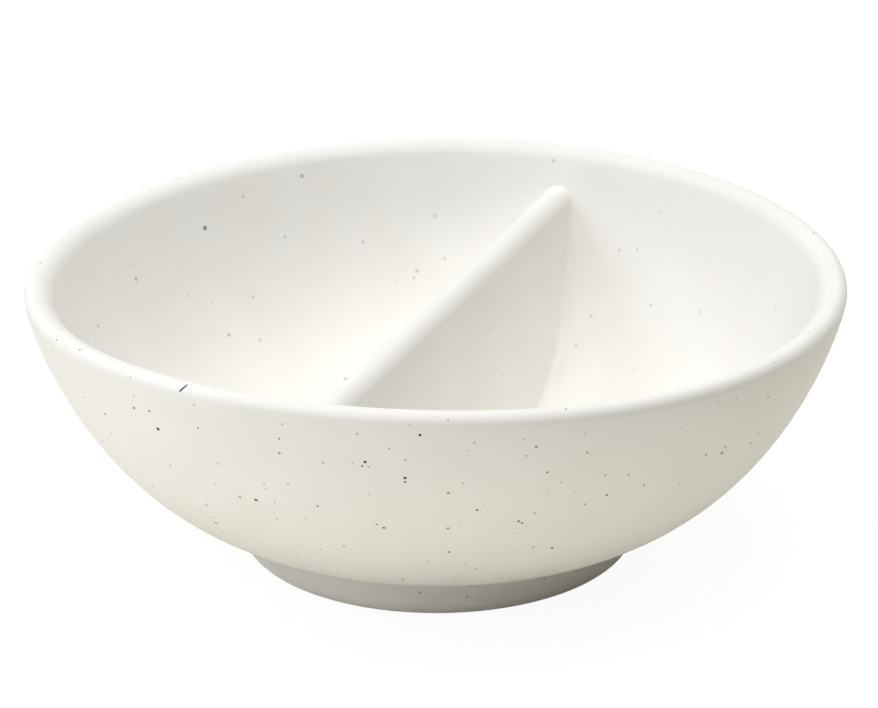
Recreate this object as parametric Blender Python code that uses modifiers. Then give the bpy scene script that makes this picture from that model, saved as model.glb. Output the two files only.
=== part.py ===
"""Divided salt dish: a turned stoneware bowl on a foot ring, with a luted dividing wall.

Metres, +Z up. The origin is on the bowl's axis at table height. The dividing wall runs along Y.
"""

from math import acos, cos, pi, radians, sin, sqrt, tan

import bmesh
import bpy
from mathutils import Vector

# Driving dimensions of the bowl
RIM_RADIUS = 0.0500
HEIGHT = 0.0366
WALL = 0.00425
LIP_OUTER = 0.0012
RIM_LEAN = radians(10.5)
SHOULDER_FULLNESS = 0.10
BELLY_FULLNESS = 0.49
BELLY_SLOPE = radians(16.0)
BASE_RISE = 0.0023

# Driving dimensions of the foot ring
FOOT_RADIUS = 0.0244
FOOT_HEIGHT = 0.0045
FOOT_WIDTH = 0.0050
FOOT_OUTER_EDGE = 0.0020
FOOT_INNER_EDGE = 0.0010
FOOT_COVE = 0.0028

# Driving dimensions of the dividing wall and its seams
RIDGE_DROP = 0.0055
RIDGE_RADIUS = 0.00185
DIVIDER_DRAFT = radians(8.5)
SEAM_RADIUS = 0.0016

# Clearance between clay pieces, and mesh fineness
CLEARANCE = 0.00015
TURNS = 80
WALL_STEPS = 14
BASE_STEPS = 7
RIDGE_STEPS = 10
ARC_STEPS = 5
SEAM_STEPS = 18

# Glaze of every piece
GLAZE_COLOUR = (0.80, 0.78, 0.74, 1.0)
GLAZE_ROUGHNESS = 0.50

# Derived places
LIP_INNER = (WALL - LIP_OUTER * (1 + sin(RIM_LEAN))) / (1 - sin(RIM_LEAN))
LIP_OUTER_CENTRE = Vector((RIM_RADIUS - LIP_OUTER, HEIGHT - LIP_OUTER))
LIP_INNER_CENTRE = Vector((RIM_RADIUS - LIP_OUTER, HEIGHT - LIP_INNER))
RIDGE_CENTRE_Z = HEIGHT - RIDGE_DROP - RIDGE_RADIUS

for old in list(bpy.data.objects):
    bpy.data.objects.remove(old)


def new_collection(name):
    """A collection linked to the scene."""
    made = bpy.data.collections.new(name)
    bpy.context.scene.collection.children.link(made)
    return made


parts = new_collection("salt_dish")
cutters = new_collection("salt_dish_cutters")


def direction(angle):
    """Unit vector at an angle from the outward radial direction, turning up."""
    return Vector((cos(angle), sin(angle)))


def cubic(ends, t):
    """Point and outward normal of a Bezier curve that runs outwards and upwards."""
    a, b, c, d = ends
    u = 1 - t
    point = a * u**3 + b * (3 * u * u * t) + c * (3 * u * t * t) + d * t**3
    along = (b - a) * (u * u) + (c - b) * (2 * u * t) + (d - c) * (t * t)
    return point, Vector((along.y, -along.x)).normalized()


def base_curve():
    """Underside of the bowl from its axis to the foot's outer radius."""
    middle = Vector((0, BASE_RISE))
    join = Vector((FOOT_RADIUS, FOOT_HEIGHT))
    reach = FOOT_RADIUS / 3
    return middle, middle + Vector((reach, 0)), join - direction(BELLY_SLOPE) * reach, join


def wall_curve():
    """Outside of the bowl from the foot's outer radius to the lip."""
    join = Vector((FOOT_RADIUS, FOOT_HEIGHT))
    inner_lip = LIP_INNER_CENTRE + direction(pi - RIM_LEAN) * LIP_INNER
    lip = inner_lip + direction(-RIM_LEAN) * WALL
    span = (lip - join).length
    low = join + direction(BELLY_SLOPE) * (BELLY_FULLNESS * span)
    high = lip - direction(pi / 2 - RIM_LEAN) * (SHOULDER_FULLNESS * span)
    return join, low, high, lip


BASE_CURVE = base_curve()
WALL_CURVE = wall_curve()


def skin(s, depth):
    """Point of the bowl's outline moved in by a depth, and its outward normal.

    s runs from 0 on the axis, through 1 at the foot, to 2 at the lip.
    """
    point, normal = cubic(BASE_CURVE, s) if s < 1 else cubic(WALL_CURVE, s - 1)
    return point - normal * depth, normal


def skin_run(depth):
    """Points of the bowl's outline at a depth, from the axis to the lip."""
    stations = [i / BASE_STEPS for i in range(BASE_STEPS)]
    stations += [1 + i / WALL_STEPS for i in range(WALL_STEPS + 1)]
    return [skin(s, depth)[0] for s in stations]


def solve(gap, low, high):
    """Value between low and high where a rising function crosses zero."""
    for _ in range(60):
        middle = (low + high) / 2
        if gap(middle) < 0:
            low = middle
        else:
            high = middle
    return (low + high) / 2


def arc(centre, radius, start, end, steps):
    """Points of an arc in the profile plane, both ends included."""
    return [centre + direction(start + (end - start) * i / steps) * radius for i in range(steps + 1)]


def glaze(name):
    """Satin off-white glaze for one piece."""
    made = bpy.data.materials.new(name + "_glaze")
    made.use_nodes = True
    shader = made.node_tree.nodes["Principled BSDF"]
    shader.inputs["Base Color"].default_value = GLAZE_COLOUR
    shader.inputs["Roughness"].default_value = GLAZE_ROUGHNESS
    shader.inputs["Metallic"].default_value = 0.0
    return made


def new_object(name, mesh, home):
    """A named object in a collection."""
    made = bpy.data.objects.new(name, mesh)
    home.objects.link(made)
    return made


def turned(name, profile, closed, home):
    """A profile of (radius, height) points turned about the Z axis."""
    points = [(p.x, 0, p.y) for p in profile]
    edges = [(i, i + 1) for i in range(len(points) - 1)]
    if closed:
        edges.append((len(points) - 1, 0))
    mesh = bpy.data.meshes.new(name)
    mesh.from_pydata(points, edges, [])
    made = new_object(name, mesh, home)
    screw = made.modifiers.new("turn", "SCREW")
    screw.axis = "Z"
    screw.angle = 2 * pi
    screw.steps = TURNS
    screw.render_steps = TURNS
    screw.use_merge_vertices = True
    screw.merge_threshold = 0.00001
    screw.use_smooth_shade = True
    return made


def bowl_shell():
    """Bowl of even thickness whose lip is rounded, wide on the inside and tight on the outside."""
    inside = skin_run(WALL)
    rise = arc(LIP_INNER_CENTRE, LIP_INNER, pi - RIM_LEAN, pi / 2, ARC_STEPS)
    fall = arc(LIP_OUTER_CENTRE, LIP_OUTER, pi / 2, 0, ARC_STEPS)
    side = arc(LIP_OUTER_CENTRE, LIP_OUTER, 0, -RIM_LEAN, 1)
    outside = skin_run(0)[::-1]
    profile = inside + rise[1:] + fall[1:] + side[1:] + outside
    profile[0].x = 0
    profile[-1].x = 0
    made = turned("bowl_shell", profile, False, parts)
    made.data.materials.append(glaze("bowl_shell"))
    return made


def foot_ring():
    """Ring under the bowl: rounded bottom edge, upright side, cove against the belly."""
    inner_radius = FOOT_RADIUS - FOOT_WIDTH
    cove_radius = FOOT_RADIUS + FOOT_COVE
    cove_s = solve(lambda s: skin(s, -FOOT_COVE)[0].x - cove_radius, 0.5, 2)
    cove_centre, belly_normal = skin(cove_s, -FOOT_COVE)
    touch = pi - acos(belly_normal.x)
    cove_end = touch + acos(1 - CLEARANCE / FOOT_COVE)
    top_s = solve(lambda s: skin(s, -CLEARANCE)[0].x - inner_radius, 0, 2)
    rim_s = solve(lambda s: skin(s, -CLEARANCE)[0].x - FOOT_RADIUS, 0, 2)
    top = [skin(top_s + (rim_s - top_s) * i / ARC_STEPS, -CLEARANCE)[0] for i in range(ARC_STEPS + 1)]
    cove = arc(cove_centre, FOOT_COVE, cove_end, pi, ARC_STEPS)
    outer_edge = Vector((FOOT_RADIUS - FOOT_OUTER_EDGE, FOOT_OUTER_EDGE))
    inner_edge = Vector((inner_radius + FOOT_INNER_EDGE, FOOT_INNER_EDGE))
    bottom = arc(outer_edge, FOOT_OUTER_EDGE, 0, -pi / 2, ARC_STEPS)
    inside = arc(inner_edge, FOOT_INNER_EDGE, -pi / 2, -pi, ARC_STEPS)
    made = turned("foot_ring", top + cove + bottom + inside, True, parts)
    made.data.materials.append(glaze("foot_ring"))
    return made


def slab_offset(z, away):
    """Distance from the dividing plane, at height z, of what lies away from the slab's face."""
    return (RIDGE_RADIUS + away) / cos(DIVIDER_DRAFT) + (RIDGE_CENTRE_Z - z) * tan(DIVIDER_DRAFT)


def cavity():
    """Space inside the bowl, a clearance away from it, that trims the dividing wall."""
    inside = skin_run(WALL + CLEARANCE)
    inside[0].x = 0
    mouth = [Vector((0, HEIGHT)), Vector((inside[-1].x, HEIGHT))]
    made = turned("cavity_cutter", mouth + inside[::-1], False, cutters)
    made.hide_render = True
    made.display_type = "WIRE"
    return made


def divider_wall():
    """Drafted slab with a rounded ridge, cut to the inside of the bowl."""
    ridge_centre = Vector((0, RIDGE_CENTRE_Z))
    outline = arc(ridge_centre, RIDGE_RADIUS, DIVIDER_DRAFT, pi - DIVIDER_DRAFT, RIDGE_STEPS)
    outline += [Vector((-slab_offset(0, 0), 0)), Vector((slab_offset(0, 0), 0))]
    shape = bmesh.new()
    front = shape.faces.new([shape.verts.new((p.x, -RIM_RADIUS, p.y)) for p in outline])
    swept = bmesh.ops.extrude_face_region(shape, geom=[front])["geom"]
    back = [item for item in swept if isinstance(item, bmesh.types.BMVert)]
    bmesh.ops.translate(shape, verts=back, vec=(0, 2 * RIM_RADIUS, 0))
    bmesh.ops.recalc_face_normals(shape, faces=shape.faces)
    mesh = bpy.data.meshes.new("divider_wall")
    shape.to_mesh(mesh)
    shape.free()
    made = new_object("divider_wall", mesh, parts)
    trim = made.modifiers.new("fit_bowl", "BOOLEAN")
    trim.operation = "INTERSECT"
    trim.object = cavity()
    made.data.materials.append(glaze("divider_wall"))
    return made


def seam_section(side, s, end):
    """Section of a seam coil: a corner clear of both pieces, and the hollow round between them."""
    centre, normal = skin(s, WALL + SEAM_RADIUS)
    x = slab_offset(centre.y, SEAM_RADIUS)
    y = end * sqrt(max(centre.x**2 - x**2, 0))
    ball = Vector((side * x, y, centre.y))
    to_slab = Vector((-side * cos(DIVIDER_DRAFT), 0, -sin(DIVIDER_DRAFT)))
    to_bowl = Vector((ball.x * normal.x / centre.x, ball.y * normal.x / centre.x, normal.y))
    share = acos(1 - CLEARANCE / SEAM_RADIUS) / to_slab.angle(to_bowl)
    inset = (SEAM_RADIUS - CLEARANCE) / (1 + to_slab.dot(to_bowl))
    points = [ball + (to_slab + to_bowl) * inset]
    for i in range(ARC_STEPS + 1):
        turn = share + (1 - 2 * share) * i / ARC_STEPS
        points.append(ball + to_slab.slerp(to_bowl, turn) * SEAM_RADIUS)
    return points


def seam_coil(name, side):
    """Coil of clay worked into the corner between one face of the slab and the bowl."""
    reach = WALL + SEAM_RADIUS
    low_s = solve(lambda s: skin(s, reach)[0].x - slab_offset(skin(s, reach)[0].y, SEAM_RADIUS), 0, 2)
    top_s = solve(lambda s: skin(s, reach)[0].y - RIDGE_CENTRE_Z, 0, 2)
    shape = bmesh.new()
    rows = []
    for i in range(-SEAM_STEPS, SEAM_STEPS + 1):
        share = i / SEAM_STEPS
        end = 1 if i > 0 else -1
        section = seam_section(side, low_s + (top_s - low_s) * share * share, end)
        rows.append([shape.verts.new(point) for point in section])
    for near, far in zip(rows, rows[1:]):
        for i in range(len(near)):
            shape.faces.new((near[i - 1], near[i], far[i], far[i - 1]))
    shape.faces.new(rows[0])
    shape.faces.new(rows[-1])
    bmesh.ops.recalc_face_normals(shape, faces=shape.faces)
    mesh = bpy.data.meshes.new(name)
    shape.to_mesh(mesh)
    shape.free()
    made = new_object(name, mesh, parts)
    made.data.materials.append(glaze(name))
    return made


bowl_shell()
foot_ring()
divider_wall()
seam_coil("seam_coil_left", -1)
seam_coil("seam_coil_right", 1)
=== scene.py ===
"""Divided salt dish in speckled off-white stoneware glaze, standing on a white studio floor.

Metres, +Z up, in the frame of the CAD model. The dividing wall runs along Y.
"""

from math import acos, atan2, cos, hypot, pi, radians, sin, sqrt, tan

import bmesh
import bpy
from mathutils import Matrix, Vector
from mathutils.bvhtree import BVHTree


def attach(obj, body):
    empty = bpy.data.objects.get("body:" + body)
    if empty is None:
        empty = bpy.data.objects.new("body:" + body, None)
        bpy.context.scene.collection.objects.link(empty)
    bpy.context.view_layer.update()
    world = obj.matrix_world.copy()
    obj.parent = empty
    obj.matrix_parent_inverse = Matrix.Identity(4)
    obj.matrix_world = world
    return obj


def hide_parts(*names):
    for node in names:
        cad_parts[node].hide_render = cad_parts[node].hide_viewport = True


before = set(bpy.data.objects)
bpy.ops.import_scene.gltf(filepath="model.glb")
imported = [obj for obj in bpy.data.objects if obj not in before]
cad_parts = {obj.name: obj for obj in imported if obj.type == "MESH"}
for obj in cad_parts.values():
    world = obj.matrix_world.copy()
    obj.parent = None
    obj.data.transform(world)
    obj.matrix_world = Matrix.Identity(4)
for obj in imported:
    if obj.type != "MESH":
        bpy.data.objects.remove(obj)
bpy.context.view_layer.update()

# Sizes of the bowl
RIM_RADIUS = 0.0496
HEIGHT = 0.03558
WALL = 0.00425
LIP_OUTER = 0.0012
LIP_INNER = 0.0025
RIM_LEAN = radians(10.5)
INNER_LEAN = radians(26)
INNER_FLARE_START = 1.3
SHOULDER_FULLNESS = 0.10
BELLY_FULLNESS = 0.49
BELLY_SLOPE = radians(16.0)
BASE_RISE = 0.0023

# Sizes of the foot ring
FOOT_RADIUS = 0.0244
FOOT_HEIGHT = 0.0045
FOOT_WIDTH = 0.0050
FOOT_OUTER_EDGE = 0.0020
FOOT_INNER_EDGE = 0.0010
FOOT_COVE = 0.0032

# Sizes of the dividing wall and of the seams along it
RIDGE_DROP = 0.0045
RIDGE_RADIUS = 0.00185
DIVIDER_DRAFT = radians(8.5)
SEAM_RADIUS = 0.0016
SEAM_END_RADIUS = 0.0005

# How the soft clay settled out of round: waves round the rim, size in metres, and where each is highest
RIM_HEIGHT_WAVES = ((1, 0.00031, radians(-72)), (2, 0.00057, radians(191)), (3, 0.00014, radians(61)))
RIM_RADIUS_WAVES = ((2, 0.00024, radians(63)), (3, 0.00025, radians(-79)))

# How far a piece runs into the one that carries it, and how finely things are drawn
BURIED = 0.0008
TURNS = 256
BASE_STEPS = 20
WALL_STEPS = 44
ARC_STEPS = 20
FACE_STEPS = 14
SLAB_STEPS = 64
SEAM_STEPS = 70
RIDGE_TURN_STEPS = 16
HALVINGS = 60
START_SIZE = 0.01
MERGE_DISTANCE = 0.000002
SMOOTH_ANGLE = radians(38)

# Places that follow from the sizes
LIP_OUTER_CENTRE = Vector((RIM_RADIUS - LIP_OUTER, HEIGHT - LIP_OUTER))
LIP_INNER_CENTRE = Vector((RIM_RADIUS - LIP_OUTER, HEIGHT - LIP_INNER))
RIDGE_CENTRE_Z = HEIGHT - RIDGE_DROP - RIDGE_RADIUS


# Curves of the bowl

def direction(angle):
    """Unit vector at an angle from the outward radial direction, turning up."""
    return Vector((cos(angle), sin(angle)))


def cubic(ends, t):
    """Point and outward normal of a Bezier curve that runs outwards and upwards."""
    a, b, c, d = ends
    u = 1 - t
    point = a * u**3 + b * (3 * u * u * t) + c * (3 * u * t * t) + d * t**3
    along = (b - a) * (u * u) + (c - b) * (2 * u * t) + (d - c) * (t * t)
    return point, Vector((along.y, -along.x)).normalized()


def base_curve():
    """Underside of the bowl from its axis to the foot's outer radius."""
    middle = Vector((0, BASE_RISE))
    join = Vector((FOOT_RADIUS, FOOT_HEIGHT))
    reach = FOOT_RADIUS / 3
    return middle, middle + Vector((reach, 0)), join - direction(BELLY_SLOPE) * reach, join


def wall_curve():
    """Outside of the bowl from the foot's outer radius to the lip."""
    join = Vector((FOOT_RADIUS, FOOT_HEIGHT))
    lip = LIP_OUTER_CENTRE + direction(-RIM_LEAN) * LIP_OUTER
    span = (lip - join).length
    low = join + direction(BELLY_SLOPE) * (BELLY_FULLNESS * span)
    high = lip - direction(pi / 2 - RIM_LEAN) * (SHOULDER_FULLNESS * span)
    return join, low, high, lip


BASE_CURVE = base_curve()
WALL_CURVE = wall_curve()


def skin(s, depth):
    """Point of the bowl's outline moved in by a depth, and its outward normal.

    s runs from 0 on the axis, through 1 at the foot, to 2 at the lip.
    """
    point, normal = cubic(BASE_CURVE, s) if s < 1 else cubic(WALL_CURVE, s - 1)
    return point - normal * depth, normal


def inside_curve():
    """Upper inside of the bowl, which flares from even thickness to a thinner lip."""
    start, normal = skin(INNER_FLARE_START, WALL)
    lip = LIP_INNER_CENTRE + direction(pi - INNER_LEAN) * LIP_INNER
    reach = (lip - start).length / 3
    low = start + Vector((-normal.y, normal.x)) * reach
    high = lip - direction(pi / 2 - INNER_LEAN) * reach
    return start, low, high, lip


INSIDE_CURVE = inside_curve()


def room(s, away):
    """Point of the bowl's inside moved away from the clay, and its normal into the clay."""
    if s < INNER_FLARE_START:
        return skin(s, WALL + away)
    point, normal = cubic(INSIDE_CURVE, (s - INNER_FLARE_START) / (2 - INNER_FLARE_START))
    return point - normal * away, normal


def run(surface, away):
    """Points of the bowl's outside or inside, from the axis to the lip."""
    stations = [i / BASE_STEPS for i in range(BASE_STEPS)]
    stations += [1 + i / WALL_STEPS for i in range(WALL_STEPS + 1)]
    return [surface(s, away)[0] for s in stations]


def solve(gap, low, high):
    """Value between low and high where a rising function crosses zero."""
    for _ in range(HALVINGS):
        middle = (low + high) / 2
        if gap(middle) < 0:
            low = middle
        else:
            high = middle
    return (low + high) / 2


def eased(i, steps):
    """Share of a run that starts and ends in very short steps."""
    return 0.5 - 0.5 * cos(pi * i / steps)


def arc(centre, radius, start, end, steps):
    """Points of an arc in the profile plane, both ends included."""
    return [centre + direction(start + (end - start) * i / steps) * radius for i in range(steps + 1)]


def feathered_arc(centre, radius, start, end, steps):
    """Points of an arc whose ends run out in very short steps."""
    turns = [start + (end - start) * eased(i, steps) for i in range(steps + 1)]
    return [centre + direction(turn) * radius for turn in turns]


# Drawing by hand

def new_point(name, place):
    """A mesh of one selected vertex, in edit mode."""
    bpy.ops.object.select_all(action="DESELECT")
    bpy.ops.mesh.primitive_plane_add(size=START_SIZE, location=(0, 0, 0))
    made = bpy.context.object
    made.name = name
    made.data.name = name
    bpy.ops.object.mode_set(mode="EDIT")
    bpy.ops.mesh.select_all(action="SELECT")
    bpy.ops.mesh.merge(type="CENTER")
    bpy.ops.transform.translate(value=place)
    return made


def draw_on(points):
    """Extrudes the selected vertex along a run of points, the first of which it already stands on."""
    for here, there in zip(points, points[1:]):
        bpy.ops.mesh.extrude_vertices_move(TRANSFORM_OT_translate={"value": there - here})
    merge_doubles()


def merge_doubles():
    """Merges doubled vertices and leaves everything selected."""
    bpy.ops.mesh.select_all(action="SELECT")
    bpy.ops.mesh.remove_doubles(threshold=MERGE_DISTANCE)
    bpy.ops.mesh.select_all(action="SELECT")


def close_mesh():
    """Merges doubled vertices, points the faces outwards and leaves edit mode."""
    merge_doubles()
    bpy.ops.mesh.normals_make_consistent(inside=False)
    bpy.ops.object.mode_set(mode="OBJECT")


def pick(made):
    """Selects one object alone and makes it active."""
    bpy.ops.object.select_all(action="DESELECT")
    bpy.context.view_layer.objects.active = made
    made.select_set(True)


def turned(name, profile, closed):
    """A profile of (radius, height) points turned once round the Z axis."""
    points = [Vector((p.x, 0, p.y)) for p in profile]
    if closed:
        points.append(points[0])
    made = new_point(name, points[0])
    draw_on(points)
    bpy.ops.mesh.spin(steps=TURNS, angle=2 * pi, center=(0, 0, 0), axis=(0, 0, 1))
    close_mesh()
    return made


# Bowl and foot ring

def throw_bowl():
    """Bowl whose lip is rounded, wide on the inside and tight on the outside."""
    inside = run(room, 0)
    rise = arc(LIP_INNER_CENTRE, LIP_INNER, pi - INNER_LEAN, pi / 2, ARC_STEPS)
    fall = arc(LIP_OUTER_CENTRE, LIP_OUTER, pi / 2, -RIM_LEAN, ARC_STEPS)
    outside = run(skin, 0)[::-1]
    profile = inside + rise[1:] + fall[1:] + outside
    profile[0].x = 0
    profile[-1].x = 0
    made = turned("bowl", profile, False)
    bpy.ops.object.shade_smooth()
    return made


def turn_foot():
    """Foot ring: rounded bottom edges, upright sides, and a cove that runs out on the belly."""
    inner_radius = FOOT_RADIUS - FOOT_WIDTH
    cove_radius = FOOT_RADIUS + FOOT_COVE
    cove_s = solve(lambda s: skin(s, -FOOT_COVE)[0].x - cove_radius, 0.5, 2)
    cove_centre, belly_normal = skin(cove_s, -FOOT_COVE)
    touch = pi - acos(belly_normal.x)
    cove = feathered_arc(cove_centre, FOOT_COVE, touch, pi, ARC_STEPS)
    hollow_radius = inner_radius - FOOT_INNER_EDGE
    hollow_s = solve(lambda s: skin(s, -FOOT_INNER_EDGE)[0].x - hollow_radius, 0, 1)
    hollow_centre, base_normal = skin(hollow_s, -FOOT_INNER_EDGE)
    hollow_touch = pi - acos(base_normal.x)
    hollow = feathered_arc(hollow_centre, FOOT_INNER_EDGE, 0, hollow_touch, ARC_STEPS)
    outer_edge = Vector((FOOT_RADIUS - FOOT_OUTER_EDGE, FOOT_OUTER_EDGE))
    inner_edge = Vector((inner_radius + FOOT_INNER_EDGE, FOOT_INNER_EDGE))
    bottom = arc(outer_edge, FOOT_OUTER_EDGE, 0, -pi / 2, ARC_STEPS)
    inside = arc(inner_edge, FOOT_INNER_EDGE, -pi / 2, -pi, ARC_STEPS)
    buried = [skin(hollow_s, BURIED)[0], skin(cove_s, BURIED)[0]]
    made = turned("foot", cove + bottom + inside + hollow + buried, True)
    bpy.ops.object.shade_smooth_by_angle(angle=SMOOTH_ANGLE)
    return made


# Dividing wall

def slab_offset(z, away):
    """Distance from the dividing plane, at height z, of what lies away from the slab's face."""
    return (RIDGE_RADIUS + away) / cos(DIVIDER_DRAFT) + (RIDGE_CENTRE_Z - z) * tan(DIVIDER_DRAFT)


def roll_slab():
    """Drafted slab with a rounded ridge, longer than the bowl has room for."""
    ridge_centre = Vector((0, RIDGE_CENTRE_Z))
    ridge = arc(ridge_centre, RIDGE_RADIUS, DIVIDER_DRAFT, pi - DIVIDER_DRAFT, ARC_STEPS)
    bottom = Vector((slab_offset(0, 0), 0))
    rise = [bottom.lerp(ridge[0], i / FACE_STEPS) for i in range(FACE_STEPS)]
    fall = [Vector((-p.x, p.y)) for p in reversed(rise)]
    outline = [Vector((p.x, -RIM_RADIUS, p.y)) for p in rise + ridge + fall]
    made = new_point("divider", outline[0])
    draw_on(outline + outline[:1])
    bpy.ops.mesh.edge_face_add()
    step = (0, 2 * RIM_RADIUS / SLAB_STEPS, 0)
    for _ in range(SLAB_STEPS):
        bpy.ops.mesh.extrude_region_move(TRANSFORM_OT_translate={"value": step})
    close_mesh()
    return made


def cut_divider():
    """Slab trimmed to the bowl's room and let a little into its wall and floor."""
    made = roll_slab()
    reach = run(room, -BURIED)
    reach[0].x = 0
    mouth = [Vector((0, HEIGHT)), Vector((reach[-1].x, HEIGHT))]
    trimmer = turned("divider_trimmer", mouth + reach[::-1], False)
    pick(made)
    trim = made.modifiers.new("fit_bowl", "BOOLEAN")
    trim.operation = "INTERSECT"
    trim.object = trimmer
    bpy.ops.object.modifier_apply(modifier=trim.name)
    bpy.data.objects.remove(trimmer)
    bpy.ops.object.shade_smooth_by_angle(angle=SMOOTH_ANGLE)
    return made


# Seams between the dividing wall and the bowl

def seam_ball(side, end, s, lean, radius):
    """Ball that rolls in the corner: its centre, and the ways to the slab and to the bowl."""
    centre, normal = room(s, radius)
    if lean is None:
        x = slab_offset(centre.y, radius)
        to_slab = Vector((-side * cos(DIVIDER_DRAFT), 0, -sin(DIVIDER_DRAFT)))
    else:
        x = (RIDGE_RADIUS + radius) * cos(lean)
        to_slab = Vector((-side * cos(lean), 0, -sin(lean)))
    y = end * sqrt(max(centre.x**2 - x**2, 0))
    ball = Vector((side * x, y, centre.y))
    to_bowl = Vector((ball.x * normal.x / centre.x, ball.y * normal.x / centre.x, normal.y))
    return ball, to_slab, to_bowl


def corner_gap(s):
    """How far the seam's ball is from touching the slab, where it touches the bowl at s."""
    centre = room(s, SEAM_RADIUS)[0]
    return centre.x - slab_offset(centre.y, SEAM_RADIUS)


def end_station(z):
    """Where on the bowl's inside the ball of a seam's end lies at height z."""
    return solve(lambda s: room(s, SEAM_END_RADIUS)[0].y - z, 0, 2)


def seam_stations():
    """Half a seam's way from the floor's middle up the wall and over the ridge: s, lean and radius."""
    bend = RIDGE_RADIUS + SEAM_END_RADIUS
    low_s = solve(corner_gap, 0, 2)
    top_s = end_station(RIDGE_CENTRE_Z + bend * sin(DIVIDER_DRAFT))
    stations = []
    for i in range(SEAM_STEPS + 1):
        share = i / SEAM_STEPS
        radius = SEAM_RADIUS + (SEAM_END_RADIUS - SEAM_RADIUS) * share**4 * (5 - 4 * share)
        stations.append((low_s + (top_s - low_s) * share * share, None, radius))
    for i in range(1, RIDGE_TURN_STEPS + 1):
        lean = DIVIDER_DRAFT + (pi / 2 - DIVIDER_DRAFT) * i / RIDGE_TURN_STEPS
        stations.append((end_station(RIDGE_CENTRE_Z + bend * sin(lean)), lean, SEAM_END_RADIUS))
    return stations


def seam_rows(side):
    """Sections of a seam from one end of the ridge, down, along the floor and up to the other end."""
    half = seam_stations()
    rows = []
    for end, (s, lean, radius) in [(-1, at) for at in reversed(half[1:])] + [(1, at) for at in half]:
        ball, to_slab, to_bowl = seam_ball(side, end, s, lean, radius)
        row = [ball + to_slab * (radius + BURIED)]
        for i in range(ARC_STEPS + 1):
            row.append(ball + to_slab.slerp(to_bowl, eased(i, ARC_STEPS)) * radius)
        row.append(ball + to_bowl * (radius + BURIED))
        rows.append(row)
    return rows


def smooth_seam(name, side):
    """Hollow-faced seam worked into the corner between one face of the slab and the bowl."""
    rows = seam_rows(side)
    across = len(rows[0])
    bpy.ops.object.select_all(action="DESELECT")
    bpy.ops.mesh.primitive_grid_add(
        x_subdivisions=across - 1, y_subdivisions=len(rows) - 1, size=START_SIZE
    )
    made = bpy.context.object
    made.name = name
    made.data.name = name
    bpy.ops.object.mode_set(mode="EDIT")
    grid = bmesh.from_edit_mesh(made.data)
    grid.verts.ensure_lookup_table()
    for j, row in enumerate(rows):
        for i, place in enumerate(row):
            grid.verts[j * across + i].co = place
    bpy.ops.mesh.select_all(action="DESELECT")
    grid.edges.ensure_lookup_table()
    for edge in grid.edges:
        columns = {vert.index % across for vert in edge.verts}
        edge.select_set(columns == {0} or columns == {across - 1})
    bmesh.update_edit_mesh(made.data)
    bpy.ops.mesh.bridge_edge_loops()
    bpy.ops.mesh.select_all(action="DESELECT")
    bpy.ops.mesh.select_non_manifold()
    bpy.ops.mesh.fill_holes(sides=0)
    close_mesh()
    bpy.ops.object.shade_smooth_by_angle(angle=SMOOTH_ANGLE)
    return made


# Settling of the soft clay

def sag(place):
    """Where a point of the true shape settles: it stays at the table and moves furthest at the rim."""
    around = atan2(place.y, place.x)
    share = max(place.z / HEIGHT, 0)
    wall_radius = FOOT_RADIUS + (RIM_RADIUS - WALL - FOOT_RADIUS) * share
    share *= min(hypot(place.x, place.y) / wall_radius, 1) ** 4
    lift = sum(size * cos(count * around - high) for count, size, high in RIM_HEIGHT_WAVES)
    reach = sum(size * cos(count * around - high) for count, size, high in RIM_RADIUS_WAVES)
    return place + Vector((reach * cos(around), reach * sin(around), lift)) * share


def settle(made):
    """Lets a finished piece sag out of true."""
    pick(made)
    bpy.ops.object.mode_set(mode="EDIT")
    clay = bmesh.from_edit_mesh(made.data)
    for vert in clay.verts:
        vert.co = sag(vert.co)
    bmesh.update_edit_mesh(made.data)
    bpy.ops.object.mode_set(mode="OBJECT")


bowl = throw_bowl()
foot = turn_foot()
divider = cut_divider()
seam_left = smooth_seam("seam_left", -1)
seam_right = smooth_seam("seam_right", 1)
for piece in (bowl, foot, divider, seam_left, seam_right):
    settle(piece)

# Camera at the photograph's angle
VIEW_AZIMUTH = radians(21.03)
VIEW_ELEVATION = radians(21.604)
VIEW_ROLL = radians(-0.313)
VIEW_DISTANCE = 0.496
VIEW_AIM = Vector((0.000183, 0.0, 0.024243))
VIEW_LENS = 166.04
SENSOR_WIDTH = 36.0
VIEW_NEAR = 0.01
VIEW_FAR = 20.0


def add_camera():
    """Camera on the fitted line of sight."""
    turn = Matrix.Rotation(VIEW_AZIMUTH, 3, "Z")
    back = turn @ Vector((0, -cos(VIEW_ELEVATION), sin(VIEW_ELEVATION)))
    lens = bpy.data.cameras.new("camera")
    lens.lens = VIEW_LENS
    lens.sensor_width = SENSOR_WIDTH
    lens.clip_start = VIEW_NEAR
    lens.clip_end = VIEW_FAR
    made = bpy.data.objects.new("camera", lens)
    bpy.context.scene.collection.objects.link(made)
    made.location = turn @ VIEW_AIM + back * VIEW_DISTANCE
    aim = (-back).to_track_quat("-Z", "Y").to_matrix()
    made.rotation_mode = "QUATERNION"
    made.rotation_quaternion = (aim @ Matrix.Rotation(VIEW_ROLL, 3, "Z")).to_quaternion()
    bpy.context.scene.camera = made
    return made


camera = add_camera()

# Glaze colours and finish
GLAZE_WARM = (0.858, 0.840, 0.794, 1.0)
GLAZE_COOL = (0.872, 0.857, 0.818, 1.0)
SPECK_COLOUR = (0.045, 0.040, 0.034, 1.0)
BARE_CLAY = (0.60, 0.53, 0.43, 1.0)
GLAZE_ROUGHNESS = 0.70
BARE_ROUGHNESS = 1.0
GLAZE_SHINE = 0.10

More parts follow.
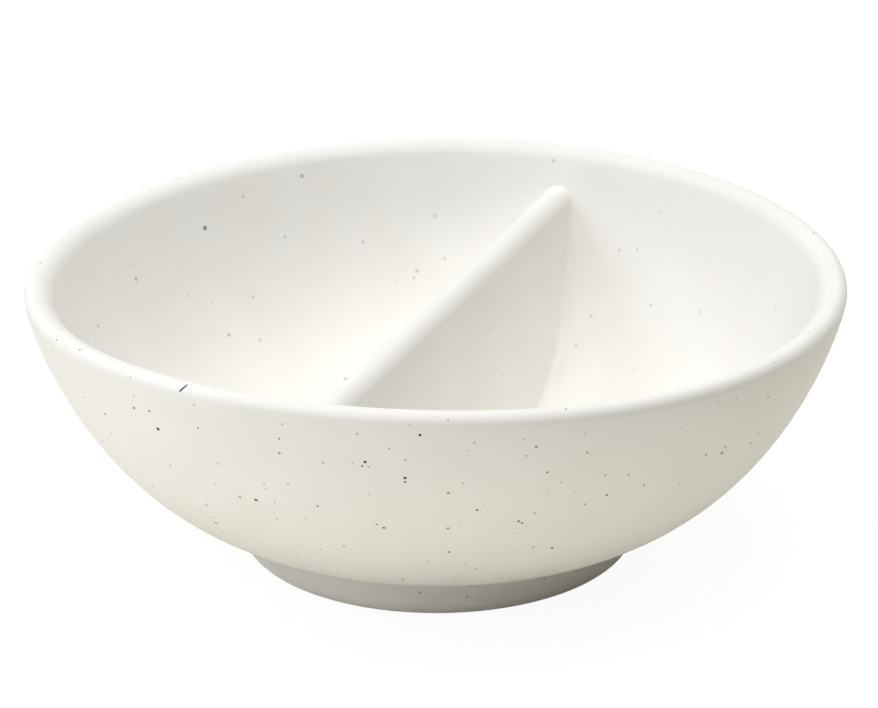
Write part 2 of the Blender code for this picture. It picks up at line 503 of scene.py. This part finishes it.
# Patterns in the glaze, which are laid out in millimetres
MILLIMETRES = 1000.0
BARE_HEIGHT = 0.3
BARE_FULLY = 0.6
BLOTCH_SCALE = 0.09
BLOTCH_EDGES = (0.35, 0.65)
PEEL_SCALE = 0.9
PEEL_STRENGTH = 0.4
PEEL_METRES = 0.000008
RAGGED_SCALE = 3.5
RAGGED_EDGE = 0.14

# Strewn specks: cell and largest radius, share of the cells that hold one, where the soft edge ends
SMALL_SPECKS = (1.9, 0.25, 0.85, 0.55)
LARGE_SPECKS = (3.1, 0.26, 0.42, 0.70)
FAINT_SPECKS = (2.9, 0.36, 0.62, 0.25)
SMALL_DEPTH = 0.95
FAINT_DEPTH = 0.32
SIZE_SPREAD = 0.6
DEPTH_SPREAD = 0.7

# Strewn large specks fade in along Y behind the front, where the large ones are set one by one
LARGE_FADE = (-8.0, 6.0)

# Soft edges of the specks that are set one by one, as shares of their radius
SET_EDGE = 1.15
SET_CORE_OUTSIDE = 0.75
SET_CORE_INSIDE = 0.2

# Line half-way through the wall: its stations, the span it is drawn in and how softly it parts the sides
HALF_WAY_STATIONS = (0.01, 0.5, 0.9, 1.1, 1.3, 1.5, 1.7, 2)
HALF_WAY_SPAN = 0.05
PARTING = 0.4

# Specks that stand out on the outside, listed: pixels across and down the photograph, radius
PHOTO_WIDTH = 878
PHOTO_HEIGHT = 708
SPECKS_OUTSIDE = (
    (158, 429, 0.25),
    (134, 408, 0.19),
    (149, 411, 0.15),
    (105, 414, 0.15),
    (198, 428, 0.14),
    (256, 500, 0.22),
    (216, 523, 0.18),
    (365, 462, 0.20),
    (362, 466, 0.14),
    (405, 478, 0.20),
    (405, 482, 0.14),
    (420, 435, 0.17),
    (448, 493, 0.15),
    (384, 528, 0.17),
    (449, 552, 0.17),
    (477, 510, 0.15),
    (522, 523, 0.15),
    (552, 548, 0.20),
    (607, 495, 0.17),
    (644, 485, 0.14),
    (706, 455, 0.15),
    (722, 453, 0.19),
    (768, 397, 0.14),
)

# Specks that stand out on the inside, which the glaze veils: the same, and how dark they show
SPECKS_INSIDE = (
    (205, 228, 0.40, 0.85),
    (302, 176, 0.38, 0.45),
    (136, 279, 0.36, 0.45),
    (98, 326, 0.36, 0.40),
    (229, 335, 0.34, 0.42),
    (260, 340, 0.32, 0.26),
    (253, 297, 0.34, 0.22),
    (285, 237, 0.34, 0.24),
    (363, 242, 0.34, 0.24),
    (435, 216, 0.34, 0.26),
    (417, 271, 0.36, 0.28),
    (346, 379, 0.38, 0.50),
    (488, 329, 0.30, 0.26),
    (591, 316, 0.32, 0.28),
    (576, 346, 0.32, 0.26),
    (651, 305, 0.34, 0.24),
)

# Short dark streak over the lip's outer edge: pixels across and down at its two ends
STREAK_START = (180, 391)
STREAK_END = (187, 385)
STREAK_STEPS = 7
STREAK_RADIUS = 0.13


# Where the set specks lie

def search_tree(pieces):
    """Search tree over the faces of some pieces, for lines of sight to meet."""
    corners = []
    faces = []
    for piece in pieces:
        first = len(corners)
        corners += [vert.co for vert in piece.data.vertices]
        faces += [[first + i for i in face.vertices] for face in piece.data.polygons]
    return BVHTree.FromPolygons(corners, faces)


CLAY = search_tree((bowl, divider))


def seen_at(across, down):
    """Place on the dish, in millimetres, that a pixel of the photograph shows."""
    step = SENSOR_WIDTH / VIEW_LENS / PHOTO_WIDTH
    look = Vector(((across - PHOTO_WIDTH / 2) * step, (PHOTO_HEIGHT / 2 - down) * step, -1))
    sight = camera.rotation_quaternion @ look.normalized()
    return CLAY.ray_cast(camera.location, sight)[0] * MILLIMETRES


def outside_marks():
    """Places, radii and depths of colour of the specks and the streak on the outside."""
    marks = [(seen_at(across, down), radius, 1.0) for across, down, radius in SPECKS_OUTSIDE]
    start = Vector(STREAK_START)
    for i in range(STREAK_STEPS):
        across, down = start.lerp(Vector(STREAK_END), i / (STREAK_STEPS - 1))
        marks.append((seen_at(across, down), STREAK_RADIUS, 1.0))
    return marks


def inside_marks():
    """Places, radii and depths of colour of the specks on the inside."""
    return [(seen_at(across, down), radius, depth) for across, down, radius, depth in SPECKS_INSIDE]


# Nodes

def wire(tree, socket, value):
    """Links a socket to another one, or sets it to a constant."""
    if isinstance(value, bpy.types.NodeSocket):
        tree.links.new(value, socket)
    else:
        socket.default_value = value


def calculate(tree, operation, *values):
    """Output of a math node."""
    made = tree.nodes.new("ShaderNodeMath")
    made.operation = operation
    for socket, value in zip(made.inputs, values):
        wire(tree, socket, value)
    return made.outputs[0]


def combine(tree, operation, *values):
    """Outputs of a vector math node."""
    made = tree.nodes.new("ShaderNodeVectorMath")
    made.operation = operation
    for socket, value in zip(made.inputs, values):
        wire(tree, socket, value)
    return made.outputs


def fade(tree, value, start, end):
    """0 at the start, 1 at the end, and a soft step between them."""
    made = tree.nodes.new("ShaderNodeMapRange")
    made.interpolation_type = "SMOOTHSTEP"
    wire(tree, made.inputs["Value"], value)
    made.inputs["From Min"].default_value = start
    made.inputs["From Max"].default_value = end
    return made.outputs["Result"]


def blend(tree, factor, first, second):
    """Colour between two others. The mix node's sockets 6 and 7, and 2, are its colours."""
    made = tree.nodes.new("ShaderNodeMix")
    made.data_type = "RGBA"
    wire(tree, made.inputs[0], factor)
    wire(tree, made.inputs[6], first)
    wire(tree, made.inputs[7], second)
    return made.outputs[2]


def noise(tree, place, scale, detail):
    """Outputs of a noise texture on a place."""
    made = tree.nodes.new("ShaderNodeTexNoise")
    tree.links.new(place, made.inputs["Vector"])
    made.inputs["Scale"].default_value = scale
    made.inputs["Detail"].default_value = detail
    return made.outputs


# Specks

def ragged(tree, place):
    """The place shaken a little, so that the edges of specks come out uneven."""
    shake = noise(tree, place, RAGGED_SCALE, 1.0)["Color"]
    centred = combine(tree, "SUBTRACT", place, (RAGGED_EDGE / 2,) * 3)["Vector"]
    return combine(tree, "MULTIPLY_ADD", shake, (RAGGED_EDGE,) * 3, centred)["Vector"]


def sprinkle(tree, place, specks):
    """Specks strewn through the clay: a share of the cells holds one, of varied size and depth."""
    cell, radius, share, soft = specks
    cells = tree.nodes.new("ShaderNodeTexVoronoi")
    tree.links.new(place, cells.inputs["Vector"])
    cells.inputs["Scale"].default_value = 1 / cell
    chance = tree.nodes.new("ShaderNodeSeparateColor")
    tree.links.new(cells.outputs["Color"], chance.inputs["Color"])
    largest = radius / cell
    smallest = (1 - SIZE_SPREAD) * largest
    size = calculate(tree, "MULTIPLY_ADD", chance.outputs["Green"], SIZE_SPREAD * largest, smallest)
    reach = calculate(tree, "DIVIDE", cells.outputs["Distance"], size)
    picked = calculate(tree, "LESS_THAN", chance.outputs["Red"], share)
    depth = calculate(tree, "MULTIPLY_ADD", chance.outputs["Blue"], DEPTH_SPREAD, 1 - DEPTH_SPREAD)
    mark = calculate(tree, "MULTIPLY", fade(tree, reach, 1, soft), picked)
    return calculate(tree, "MULTIPLY", mark, depth)


def set_specks(tree, place, marks, core):
    """Specks at chosen places, each even in its core and soft towards its edge."""
    cover = 0.0
    for centre, radius, depth in marks:
        gap = combine(tree, "DISTANCE", place, centre)["Value"]
        mark = fade(tree, gap, radius * SET_EDGE, radius * core)
        cover = calculate(tree, "MAXIMUM", calculate(tree, "MULTIPLY", mark, depth), cover)
    return cover


def half_way_radius(tree, z):
    """Radius, in millimetres, of the line half-way through the bowl's wall at height z."""
    curve = tree.nodes.new("ShaderNodeFloatCurve")
    line = curve.mapping.curves[0].points
    middle = [skin(s, WALL / 2)[0] for s in HALF_WAY_STATIONS]
    middle.append(Vector((RIM_RADIUS - LIP_OUTER, HEIGHT)))
    line[0].location = (0, 0)
    line[1].location = (1, middle[-1].x / HALF_WAY_SPAN)
    for point in middle:
        line.new(point.y / HALF_WAY_SPAN, point.x / HALF_WAY_SPAN)
    for point in line:
        point.handle_type = "VECTOR"
    curve.mapping.update()
    span = HALF_WAY_SPAN * MILLIMETRES
    tree.links.new(calculate(tree, "DIVIDE", z, span), curve.inputs["Value"])
    return calculate(tree, "MULTIPLY", curve.outputs["Value"], span)


def outer_face(tree, x, y, z):
    """1 on the outside of the bowl and 0 on its inside, parted half-way through the wall."""
    squares = calculate(tree, "ADD", calculate(tree, "POWER", x, 2), calculate(tree, "POWER", y, 2))
    radius = calculate(tree, "SQRT", squares)
    return fade(tree, calculate(tree, "SUBTRACT", radius, half_way_radius(tree, z)), -PARTING, PARTING)


def iron_specks(tree, place, y, outside):
    """How dark the specks show: sharp on the outside, veiled by the glaze on the inside."""
    uneven = ragged(tree, place)
    small = calculate(tree, "MULTIPLY", sprinkle(tree, uneven, SMALL_SPECKS), SMALL_DEPTH)
    large = calculate(tree, "MULTIPLY", sprinkle(tree, uneven, LARGE_SPECKS), fade(tree, y, *LARGE_FADE))
    sharp = set_specks(tree, uneven, outside_marks(), SET_CORE_OUTSIDE)
    for strewn in (small, large):
        sharp = calculate(tree, "MAXIMUM", sharp, strewn)
    faint = calculate(tree, "MULTIPLY", sprinkle(tree, place, FAINT_SPECKS), FAINT_DEPTH)
    veiled = calculate(tree, "MAXIMUM", faint, set_specks(tree, place, inside_marks(), SET_CORE_INSIDE))
    sharp = calculate(tree, "MULTIPLY", sharp, outside)
    veiled = calculate(tree, "MULTIPLY", veiled, calculate(tree, "SUBTRACT", 1.0, outside))
    return calculate(tree, "MAXIMUM", sharp, veiled)


# Glaze

def glaze_peel(tree, place):
    """Normal of the fine unevenness of the fired glaze."""
    peel = tree.nodes.new("ShaderNodeBump")
    peel.inputs["Strength"].default_value = PEEL_STRENGTH
    peel.inputs["Distance"].default_value = PEEL_METRES
    tree.links.new(noise(tree, place, PEEL_SCALE, 2.0)["Fac"], peel.inputs["Height"])
    return peel.outputs["Normal"]


def speckled_glaze(name, bare_height):
    """Satin off-white glaze with iron specks, and bare clay below a height."""
    made = bpy.data.materials.new(name)
    made.use_nodes = True
    tree = made.node_tree
    shader = tree.nodes["Principled BSDF"]
    coords = tree.nodes.new("ShaderNodeTexCoord")
    place = combine(tree, "MULTIPLY", coords.outputs["Object"], (MILLIMETRES,) * 3)["Vector"]
    split = tree.nodes.new("ShaderNodeSeparateXYZ")
    tree.links.new(place, split.inputs[0])
    x, y, z = split.outputs
    blotch = fade(tree, noise(tree, place, BLOTCH_SCALE, 2.0)["Fac"], *BLOTCH_EDGES)
    colour = blend(tree, blotch, GLAZE_WARM, GLAZE_COOL)
    specks = iron_specks(tree, place, y, outer_face(tree, x, y, z))
    colour = blend(tree, specks, colour, SPECK_COLOUR)
    roughness = GLAZE_ROUGHNESS
    if bare_height:
        bare = fade(tree, z, bare_height, bare_height * BARE_FULLY)
        colour = blend(tree, bare, colour, BARE_CLAY)
        rougher = BARE_ROUGHNESS - GLAZE_ROUGHNESS
        roughness = calculate(tree, "MULTIPLY_ADD", bare, rougher, GLAZE_ROUGHNESS)
    wire(tree, shader.inputs["Base Color"], colour)
    wire(tree, shader.inputs["Roughness"], roughness)
    shader.inputs["Specular IOR Level"].default_value = GLAZE_SHINE
    tree.links.new(glaze_peel(tree, place), shader.inputs["Normal"])
    return made


glaze = speckled_glaze("speckled_glaze", None)
foot_glaze = speckled_glaze("foot_glaze", BARE_HEIGHT)

for piece, node, finish, slot in (
    (bowl, "bowl_shell", glaze, "speckled_glaze"),
    (foot, "foot_ring", foot_glaze, "foot_glaze"),
    (divider, "divider_wall", glaze, "speckled_glaze"),
    (seam_left, "seam_coil_left", glaze, "speckled_glaze"),
    (seam_right, "seam_coil_right", glaze, "speckled_glaze"),
):
    piece.data.materials.clear()
    piece.data.materials.append(finish)
    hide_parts(node)
    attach(piece, "root")

# Studio floor, which shows white to the camera and keeps a share of its shadow
FLOOR_SIZE = 6.0
FLOOR_COLOUR = (0.98, 0.955, 0.86, 1.0)
FLOOR_GLOW = 0.88
GLOW_STRENGTH = 1.06

# Soft lamps: degrees round from the camera's right, degrees up, distance, size, watts and colour
LIGHT_TARGET = Vector((0, 0, 0.02))
WHITE_LIGHT = (1, 1, 1)
COOL_LIGHT = (0.92, 0.935, 1)
SOFTBOXES = (
    ("overhead", 180, 88, 1.0, 0.80, 8.0, WHITE_LIGHT),
    ("left", 180, 40, 1.0, 0.60, 2.72, COOL_LIGHT),
    ("front_left", 225, 25, 0.4, 0.35, 0.50, COOL_LIGHT),
    ("right", 0, 60, 1.0, 0.60, 1.55, WHITE_LIGHT),
    ("back_right", 40, 25, 1.0, 0.60, 1.1, WHITE_LIGHT),
)


def seen_straight(tree):
    """1 for rays that show the background: from the camera, or by way of a mirror or glass."""
    path = tree.nodes.new("ShaderNodeLightPath")
    seen = calculate(tree, "MAXIMUM", path.outputs["Is Camera Ray"], path.outputs["Is Glossy Ray"])
    return calculate(tree, "MAXIMUM", seen, path.outputs["Is Transmission Ray"])


def add_floor():
    """White floor that bounces the lamps' light and keeps a faint soft shadow."""
    bpy.ops.object.select_all(action="DESELECT")
    bpy.ops.mesh.primitive_plane_add(size=FLOOR_SIZE, location=(0, 0, 0))
    made = bpy.context.object
    made.name = "studio_floor"
    finish = bpy.data.materials.new("studio_floor")
    finish.use_nodes = True
    tree = finish.node_tree
    tree.nodes.clear()
    output = tree.nodes.new("ShaderNodeOutputMaterial")
    diffuse = tree.nodes.new("ShaderNodeBsdfDiffuse")
    diffuse.inputs["Color"].default_value = FLOOR_COLOUR
    glow = tree.nodes.new("ShaderNodeEmission")
    glow.inputs["Color"].default_value = (1, 1, 1, 1)
    glow.inputs["Strength"].default_value = GLOW_STRENGTH
    mix = tree.nodes.new("ShaderNodeMixShader")
    wire(tree, mix.inputs[0], calculate(tree, "MULTIPLY", seen_straight(tree), FLOOR_GLOW))
    tree.links.new(diffuse.outputs[0], mix.inputs[1])
    tree.links.new(glow.outputs[0], mix.inputs[2])
    tree.links.new(mix.outputs[0], output.inputs["Surface"])
    made.data.materials.append(finish)


def add_softbox(name, around, above, distance, size, power, colour):
    """Square soft light that points at the dish."""
    light = bpy.data.lights.new(name, "AREA")
    light.shape = "SQUARE"
    light.size = size
    light.energy = power
    light.color = colour
    made = bpy.data.objects.new(name, light)
    bpy.context.scene.collection.objects.link(made)
    turn = radians(around) + VIEW_AZIMUTH
    rise = radians(above)
    made.location = Vector((cos(rise) * cos(turn), cos(rise) * sin(turn), sin(rise))) * distance
    made.rotation_euler = (LIGHT_TARGET - made.location).to_track_quat("-Z", "Y").to_euler()


def add_backdrop():
    """World that is white behind the dish and adds no light of its own."""
    world = bpy.data.worlds.new("studio")
    bpy.context.scene.world = world
    world.use_nodes = True
    background = world.node_tree.nodes["Background"]
    background.inputs["Color"].default_value = (1, 1, 1, 1)
    wire(world.node_tree, background.inputs["Strength"], seen_straight(world.node_tree))


add_floor()
for softbox in SOFTBOXES:
    add_softbox(*softbox)
add_backdrop()

bpy.context.scene.view_settings.view_transform = "Standard"
